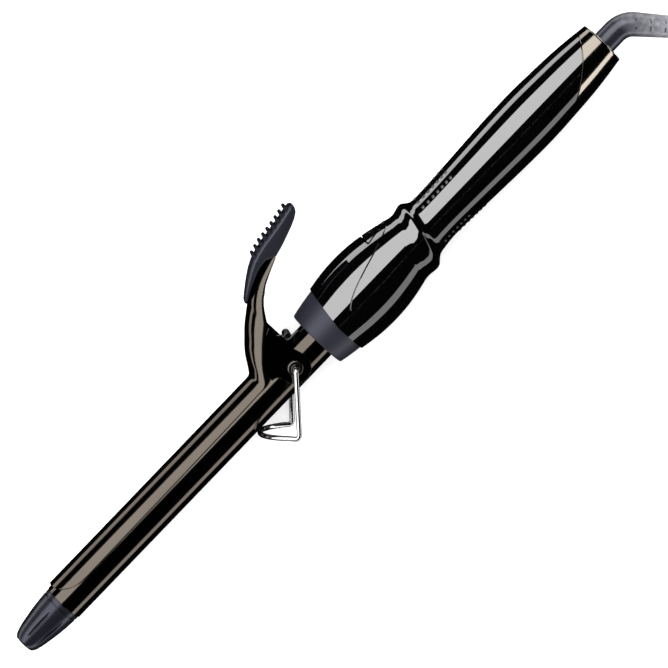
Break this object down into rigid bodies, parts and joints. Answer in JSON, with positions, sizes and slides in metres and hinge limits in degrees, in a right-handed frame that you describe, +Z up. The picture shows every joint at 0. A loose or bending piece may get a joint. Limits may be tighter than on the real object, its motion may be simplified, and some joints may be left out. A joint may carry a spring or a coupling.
{
  "type": "curling iron",
  "caption": "Slim curling iron with spring clamp, ribbed thumb rest, fold-out wire stand, bulged handle with press key, and a coiled mains lead with a flat two-pin plug.",
  "frame": {"origin": "on the surface the iron lies on, under the middle of its outline without the lead", "axes": "+X along the iron from the cool tip to the lead, +Y across from the folded stand to the clamp lever, +Z up as the iron lies on its side"},
  "size_m": [0.535, 0.1264, 0.0387],
  "materials": {
    "tip_plastic": "satin",
    "barrel_metal": "dark mirror finish",
    "clamp_metal": "dark mirror finish",
    "rivet_metal": "dark mirror finish",
    "rest_plastic": "satin",
    "collar_plastic": "satin",
    "stand_wire": "bright mirror finish",
    "spring_wire": "bright drawn wire",
    "handle_gloss": "high gloss",
    "cover_gloss": "high gloss",
    "key_gloss": "high gloss",
    "lens_red": "clear tinted",
    "end_metal": "dark mirror finish",
    "ring_metal": "satin",
    "relief_rubber": "satin",
    "cord_sheath": "satin",
    "tie_plastic": "matt",
    "plug_plastic": "satin",
    "pin_metal": "nickel plated",
    "screw_steel": "zinc plated",
    "heater_ceramic": "matt ceramic",
    "spreader_metal": "as cast",
    "heater_film": "clear amber film",
    "lead_fibre": "woven glass sleeve",
    "fuse_metal": "bright",
    "sensor_glass": "glossy bead",
    "board_green": "solder mask",
    "part_black": "moulded",
    "led_red": "clear tinted",
    "capacitor_case": "dipped",
    "wire_pvc": "satin",
    "clamp_plastic": "moulded"
  },
  "bodies": {
    "iron": {"tip_cap": "tip_plastic", "tip_screw": "screw_steel", "barrel": "barrel_metal", "heater_bar": "heater_ceramic", "heat_spreaders": "spreader_metal", "heater_film": "heater_film", "heater_leads": "lead_fibre", "thermal_fuse": "fuse_metal", "thermistor": "sensor_glass", "barrel_socket": "heater_ceramic", "pivot_rivets": "rivet_metal", "clamp_spring": "spring_wire", "collar": "collar_plastic", "upper_shell": "handle_gloss", "lower_shell": "handle_gloss", "control_cover": "cover_gloss", "indicator_lens": "lens_red", "circuit_board": "board_green", "key_switch": "part_black", "power_led": "led_red", "film_capacitor": "capacitor_case", "triac": "part_black", "board_screws": "screw_steel", "mains_wires": "wire_pvc", "lead_end": "cord_sheath", "cord_clamp": "clamp_plastic", "clamp_screws": "screw_steel", "shell_screws": "screw_steel", "grip_dots": "handle_gloss", "end_cap": "end_metal", "end_ring": "ring_metal", "strain_relief": "relief_rubber", "cord_lead": "cord_sheath", "cord_coil": "cord_sheath", "cord_tie": "tie_plastic", "cord_tail": "cord_sheath", "plug_relief": "plug_plastic", "plug_body": "plug_plastic", "plug_pins": "pin_metal"},
    "clamp_arm": {"clamp": "clamp_metal", "thumb_rest": "rest_plastic"},
    "stand": {"stand": "stand_wire"},
    "key": {"power_key": "key_gloss"}
  },
  "joints": [
    {"name": "clamp_pivot", "type": "hinge", "parent": "iron", "child": "clamp_arm", "pos_m": [-0.0124, -0.01503, 0.01935], "axis": [0, 0, -1], "range_deg": [0, 25], "stiffness_Nm_per_rad": 0.6, "springref_deg": -20.05, "deforming": ["clamp_spring"]},
    {"name": "stand_pivot", "type": "hinge", "parent": "iron", "child": "stand", "pos_m": [-0.0124, -0.01503, 0.01935], "axis": [0, 0, 1], "range_deg": [0, 100]},
    {"name": "key_press", "type": "slide", "parent": "iron", "child": "key", "axis": [0, -1, 0], "range_m": [0, 0.0008], "stiffness_N_per_m": 800, "springref_m": -0.001}
  ]
}
